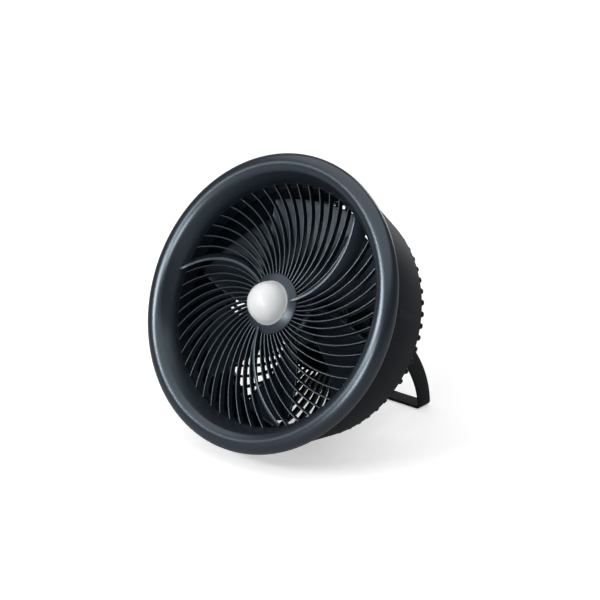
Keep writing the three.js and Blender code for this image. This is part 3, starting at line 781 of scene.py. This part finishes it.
def socketBlock(width, height, fromZ, toZ, rounding):
    # a block at the socket's place, with its edges along z rounded
    block = startFrom(bpy.ops.mesh.primitive_cube_add, size=mm)
    block.scale = (width, height, toZ - fromZ)
    block.location = (pod["socket"][0] * mm, pod["socket"][1] * mm, (fromZ + toZ) / 2 * mm)
    freeze(block)
    enterEdit(block)
    mesh = bmesh.from_edit_mesh(block.data)
    for edge in mesh.edges:
        a, b = edge.verts
        edge.select_set(abs(a.co.z - b.co.z) > 0.5 * (toZ - fromZ) * mm)
    bmesh.update_edit_mesh(block.data)
    bpy.ops.mesh.bevel(offset=rounding * mm, segments=8, affect="EDGES")
    leaveEdit()
    return block


# charging socket: a thin oval can with a tongue in its mouth, each block as
# (width, height, rear z, front z, rounding)
socket = {"wallHole": (9.7, 4, -120, -108, 1.95), "can": (8.9, 3.2, -112.9, -105.5, 1.55),
          "mouth": (8.1, 2.4, -114, -106.3, 1.15), "tongue": (6.4, 0.7, -111.7, -106, 0.2)}
combine(podCover, socketBlock(*socket["wallHole"]), "DIFFERENCE")
seat(podCover, 32)
dress(podCover, finishes["pod"], "housing", "pod_cover")
print("battery pod,", len(podCover.data.polygons), "faces")

can = socketBlock(*socket["can"])
combine(can, socketBlock(*socket["mouth"]), "DIFFERENCE")
chargeSocket = joinAll([can, socketBlock(*socket["tongue"])], "chargeSocket")
seat(chargeSocket)
dress(chargeSocket, finishes["steel"], "housing", "charge_socket")

# buttons: dished rubber caps with a collar inside the wall, and the light pipe between them
keys = {"dish": ((0, -114.05), (3.2, -114.1), (4.4, -114.4)),
        "side": [(5, -114.4, 0.3), (5.5, -113.7, 0.4), (5.5, -110.4), (6.7, -110.4), (6.7, -109.6),
                 (0, -109.6)],
        "lightPipe": [(0, -113.1), (0.8, -113.08), (1.25, -112.95), (1.55, -112.7), (1.55, -106.2),
                      (0, -106.2)]}
keyOutline = roundCorners([keys["dish"][0], *curvePoints(*keys["dish"], 6), *keys["side"]], 3)
for word, spot in zip(("speed", "light"), pod["buttons"]):
    button = turnedAt(spot, keyOutline, steps=64, name=f"{word}Button")
    seat(button, 35)
    dress(button, finishes["rubber"], f"{word}_key", f"{word}_button")
lens = turnedAt(pod["lens"], keys["lightPipe"], name="indicatorLens")
seat(lens, 40)
dress(lens, finishes["lens"], "housing", "indicator_lens")
print("socket, buttons and light pipe")

# screws: a domed head with a cross recess
screws = {"rim": {"headR": 2.3, "headLength": 1.2, "shankR": 1.25, "shankLength": 6, "out": 119.7},
          "pod": {"headR": 2.6, "headLength": 1.2, "shankR": 1.4, "shankLength": 27, "z": -112.8},
          "motor": {"headR": 2.8, "headLength": 1.7, "shankR": 1.4, "shankLength": 7,
                    "angles": (30, 150, 270), "out": 20.5, "z": -77.8},
          "recessWidth": 0.55, "recessHeight": 1.8}


def makeScrew(kind, index, place, finish):
    size = screws[kind]
    head, headEnd = size["headR"], -size["headLength"]
    shankEnd = headEnd - size["shankLength"]
    screw = turnPiece(f"{kind}Screw{index}", [
        (0, 0), *curvePoints((0, 0), (head * 0.9, -0.02), (head, headEnd * 0.75), 8),
        (head * 0.96, headEnd), (size["shankR"], headEnd), (size["shankR"], shankEnd),
        (0, shankEnd)], steps=40)
    for turn in (0, 90):
        recess = startFrom(bpy.ops.mesh.primitive_cube_add, size=mm)
        recess.scale = (head * 1.05, screws["recessWidth"], screws["recessHeight"])
        recess.rotation_euler.z = math.radians(turn)
        freeze(recess)
        combine(screw, recess, "DIFFERENCE")
    freeze(screw, fanPlace @ place)
    smooth(screw, 35)
    dress(screw, finish, "housing", f"{kind}_screw_{index}")


for index, angle in enumerate(drum["screwAngles"], 1):
    place = turned(angle) @ moved(screws["rim"]["out"], 0, drum["screwZ"]) @ turned(90, "Y")
    makeScrew("rim", index, place, finishes["blackSteel"])
for index, spot in enumerate(pod["screws"], 1):
    makeScrew("pod", index, moved(*spot, screws["pod"]["z"]) @ turned(180, "X"), finishes["blackSteel"])
for index, angle in enumerate(screws["motor"]["angles"], 1):
    place = turned(angle) @ moved(screws["motor"]["out"], 0, screws["motor"]["z"])
    makeScrew("motor", index, place, finishes["steel"])
print("screws")

# pivots: a shouldered pin with a hexagon recess, over a rubber friction washer
pin = {"headR": 5.6, "dome": 2.4, "shankR": 3, "shankLength": 13, "faceX": 57.0,
       "recess": {"radius": 2.1, "depth": 3, "z": 2.6},
       "washer": [(3.4, 52.7, 0.2), (7.2, 52.7, 0.3), (7.2, 53.5, 0.3), (3.4, 53.5, 0.2)]}
pinOutline = [
    (0, pin["dome"]), *curvePoints((0, pin["dome"]), (4.6, pin["dome"]), (5.5, 0.7), 10),
    (pin["headR"], 0.4), (5.4, 0), (pin["shankR"], 0), (pin["shankR"], 0.6 - pin["shankLength"]),
    (2.4, -pin["shankLength"]), (0, -pin["shankLength"])]
for side, word in ((1, "Right"), (-1, "Left")):
    pivotPin = turnPiece(f"pivotPin{word}", pinOutline, steps=56)
    recess = startFrom(bpy.ops.mesh.primitive_cylinder_add, vertices=6,
                       radius=pin["recess"]["radius"] * mm, depth=pin["recess"]["depth"] * mm,
                       location=(0, 0, pin["recess"]["z"] * mm))
    freeze(recess)
    combine(pivotPin, recess, "DIFFERENCE")
    freeze(pivotPin, moved(0, 0, pin["faceX"]))
    seat(sideways(pivotPin, side), 35)
    dress(pivotPin, finishes["steel"], "housing", f"pivot_pin_{word.lower()}")
    washer = turnPiece(f"frictionWasher{word}", roundCorners(pin["washer"], 3), steps=56)
    seat(sideways(washer, side), 40)
    dress(washer, finishes["rubber"], "housing", f"friction_washer_{word.lower()}")
print("pivots")

# stand: one flat strap, bent up at both ends of the floor bar and curved to the pivots; the handles
# draw the side view's curve and are (y, z) from the foot and from the pivot
strap = {"width": 15.5, "thick": 2.8, "outerX": 56.7, "bendR": 4, "round": 0.5, "pastMiddle": 2,
         "handleUp": (-3.4, 36), "handleDown": (27.4, -28.6), "steps": 28, "bendSteps": 8,
         "eye": {"radius": 8.6, "proud": 0.04}, "hole": {"radius": 3.4, "depth": 8}}
footY = mounts["stand_foot"]["pos_m"][1] / mm
pivotY, pivotZ = pivot.y / mm, pivot.z / mm
bendX = strap["outerX"] - strap["bendR"]
armX = strap["outerX"] - strap["thick"] / 2


def strapSpot(t):
    # middle line of an arm in side view, from its foot at 0 to the pivot at 1
    up, down = strap["handleUp"], strap["handleDown"]
    spots = [(footY, strap["bendR"]), (footY + up[0], up[1]), (pivotY + down[0], pivotZ + down[1]),
             (pivotY, pivotZ)]
    shares = ((1 - t) ** 3, 3 * t * (1 - t) ** 2, 3 * t * t * (1 - t), t ** 3)
    return [sum(share * spot[k] for share, spot in zip(shares, spots)) * mm for k in (0, 1)]


def bendStrap():
    # half of the strap: from just past the middle of the floor bar, round the bend and up the arm
    half = startFrom(bpy.ops.mesh.primitive_plane_add, size=mm)
    half.scale = (strap["thick"], strap["width"], 1)
    half.rotation_euler.y = math.pi / 2
    half.location = (-strap["pastMiddle"] * mm, footY * mm, strap["thick"] / 2 * mm)
    freeze(half)
    enterEdit(half)
    selectMesh()
    bpy.ops.mesh.extrude_region_move(TRANSFORM_OT_translate={
        "value": ((bendX + strap["pastMiddle"]) * mm, 0, 0)})
    for step in range(strap["bendSteps"]):
        bpy.ops.mesh.extrude_region_move(TRANSFORM_OT_translate={"value": (0, 0, 0)})
        bpy.ops.transform.rotate(value=math.pi / 2 / strap["bendSteps"], orient_axis="Y",
                                 center_override=(bendX * mm, footY * mm, strap["bendR"] * mm))
    nearby = 0.01      # the heading comes from the curve this far to either side
    spot, heading = strapSpot(0), math.pi / 2
    for step in range(1, strap["steps"] + 1):
        t = step / strap["steps"]
        nextSpot, ahead, behind = strapSpot(t), strapSpot(min(1, t + nearby)), strapSpot(t - nearby)
        nextHeading = math.atan2(ahead[1] - behind[1], ahead[0] - behind[0])
        bpy.ops.mesh.extrude_region_move(TRANSFORM_OT_translate={
            "value": (0, nextSpot[0] - spot[0], nextSpot[1] - spot[1])})
        bpy.ops.transform.rotate(value=heading - nextHeading, orient_axis="X",
                                 center_override=(armX * mm, *nextSpot))
        spot, heading = nextSpot, nextHeading
    faceOutwards()
    softenEdges(half, strap["round"], angle=45)
    return half


def pivotDisc(radius, depth):
    disc = startFrom(bpy.ops.mesh.primitive_cylinder_add, vertices=72, radius=radius * mm,
                     depth=depth * mm)
    disc.rotation_euler.y = math.pi / 2
    disc.location = (armX * mm, pivotY * mm, pivotZ * mm)
    freeze(disc)
    return disc


standStrap = bendStrap()
eye = pivotDisc(strap["eye"]["radius"], strap["thick"] + strap["eye"]["proud"])
softenEdges(eye, strap["round"], angle=45)
combine(standStrap, eye, "UNION")
combine(standStrap, pivotDisc(strap["hole"]["radius"], strap["hole"]["depth"]), "DIFFERENCE")
enterEdit(standStrap)
selectMesh()
bpy.ops.mesh.bisect(plane_co=(0, 0, 0), plane_no=(1, 0, 0), clear_inner=True)
leaveEdit()
modify(standStrap, "MIRROR", use_axis=(True, False, False), merge_threshold=1e-6)
standStrap.name = "standStrap"
smooth(standStrap, 40)
dress(standStrap, finishes["stand"], "stand", "stand_bail")
print("stand strap,", len(standStrap.data.polygons), "faces")

# camera: at the photograph's angle, with its view in degrees
camera = {"azimuth": 41.0, "elevation": 20.0, "distance": 1.392, "fieldOfView": 20.0, "sensorWidth": 36,
          "shiftX": 0.0538, "shiftY": 0.004, "clipStart": 0.01}
azimuth, elevation = math.radians(camera["azimuth"]), math.radians(camera["elevation"])
back = Vector((math.sin(azimuth) * math.cos(elevation), -math.cos(azimuth) * math.cos(elevation),
               math.sin(elevation)))
right = Vector((math.cos(azimuth), math.sin(azimuth), 0))
up = back.cross(right)
cameraData = bpy.data.cameras.new("photoCamera")
cameraData.sensor_width = camera["sensorWidth"]
cameraData.lens = camera["sensorWidth"] / 2 / math.tan(math.radians(camera["fieldOfView"] / 2))
cameraData.shift_x = camera["shiftX"]
cameraData.shift_y = camera["shiftY"]
cameraData.clip_start = camera["clipStart"]
photoCamera = bpy.data.objects.new("photoCamera", cameraData)
bpy.context.scene.collection.objects.link(photoCamera)
photoCamera.location = fanCentre + back * camera["distance"]
photoCamera.rotation_euler = (-back).to_track_quat("-Z", "Y").to_euler()
bpy.context.scene.camera = photoCamera

# softboxes: power in watts, size in metres, and where each stands from the fan, as the camera sees it:
# shares to the right, up and back towards the camera, and a distance in metres
softboxes = {
    "frontSoftbox": {"power": 11.5, "size": (0.6, 0.45), "towards": (-0.45, -0.14, 0.88), "away": 1.6},
    "leftSoftbox": {"power": 13, "size": (0.8, 0.2), "towards": (-0.76, 0.28, 0.59), "away": 1.5},
    "edgeSoftbox": {"power": 3.4, "size": (0.4, 1.2), "towards": (0.5, 0.28, -0.82), "away": 1.5},
}
for name, lamp in softboxes.items():
    boxData = bpy.data.lights.new(name, "AREA")
    boxData.shape = "RECTANGLE"
    boxData.size, boxData.size_y = lamp["size"]
    boxData.energy = lamp["power"]
    softbox = bpy.data.objects.new(name, boxData)
    bpy.context.scene.collection.objects.link(softbox)
    toRight, toTop, toCamera = lamp["towards"]
    fromFan = (right * toRight + up * toTop + back * toCamera).normalized() * lamp["away"]
    softbox.location = fanCentre + fromFan
    softbox.rotation_euler = fromFan.to_track_quat("Z", "Y").to_euler()

# ceiling and air: a wide soft light from above, and a world that is white where it is seen and dim
# where it lights
studio = {"ceilingPower": 1.8, "ceilingAngle": 100, "airLight": 0.07, "airInGloss": 0.1}
ceilingData = bpy.data.lights.new("ceiling", "SUN")
ceilingData.energy = studio["ceilingPower"]
ceilingData.angle = math.radians(studio["ceilingAngle"])
bpy.context.scene.collection.objects.link(bpy.data.objects.new("ceiling", ceilingData))
studioWorld = bpy.data.worlds.new("studio")
bpy.context.scene.world = studioWorld
air = Finish("studio", studioWorld)
whiteness = studio["airLight"] + air.seenShare(studio["airInGloss"]) * (1 - studio["airLight"])
air.show(air.node("ShaderNodeBackground", {}, {"Color": (1, 1, 1, 1), "Strength": whiteness}),
         "ShaderNodeOutputWorld")

# floor: matt, so that it keeps the shadow, and lifted to white where the camera sees it; its greys are
# for the light that it throws back, its pales for what is seen
ground = {"size": 12, "z": -0.0004, "inGloss": 0.2, "lift": 0.47,
          "greys": ((122, 122, 123), (128, 128, 129)), "pales": ((232, 232, 233), (236, 236, 237))}


def paleFloor():
    finish = Finish("paleFloor")
    cloud = finish.noise(scale=3, detail=2, roughness=0.5)
    seen = finish.seenShare(ground["inGloss"])
    grey, pale = (finish.mix(cloud, linear(*low), linear(*high))
                  for low, high in (ground["greys"], ground["pales"]))
    matt = finish.node("ShaderNodeBsdfDiffuse", {}, {"Color": finish.mix(seen, grey, pale)})
    lift = finish.node("ShaderNodeEmission", {}, {
        "Color": (1, 1, 1, 1), "Strength": seen * ground["lift"]})
    return finish.show(finish.node("ShaderNodeAddShader", {}, {0: matt, 1: lift}))


floor = startFrom(bpy.ops.mesh.primitive_plane_add, size=ground["size"], location=(0, 0, ground["z"]))
floor.name = "floor"
floor.data.materials.append(paleFloor())
print("camera, lights and floor")

bpy.context.scene.view_settings.view_transform = "Standard"
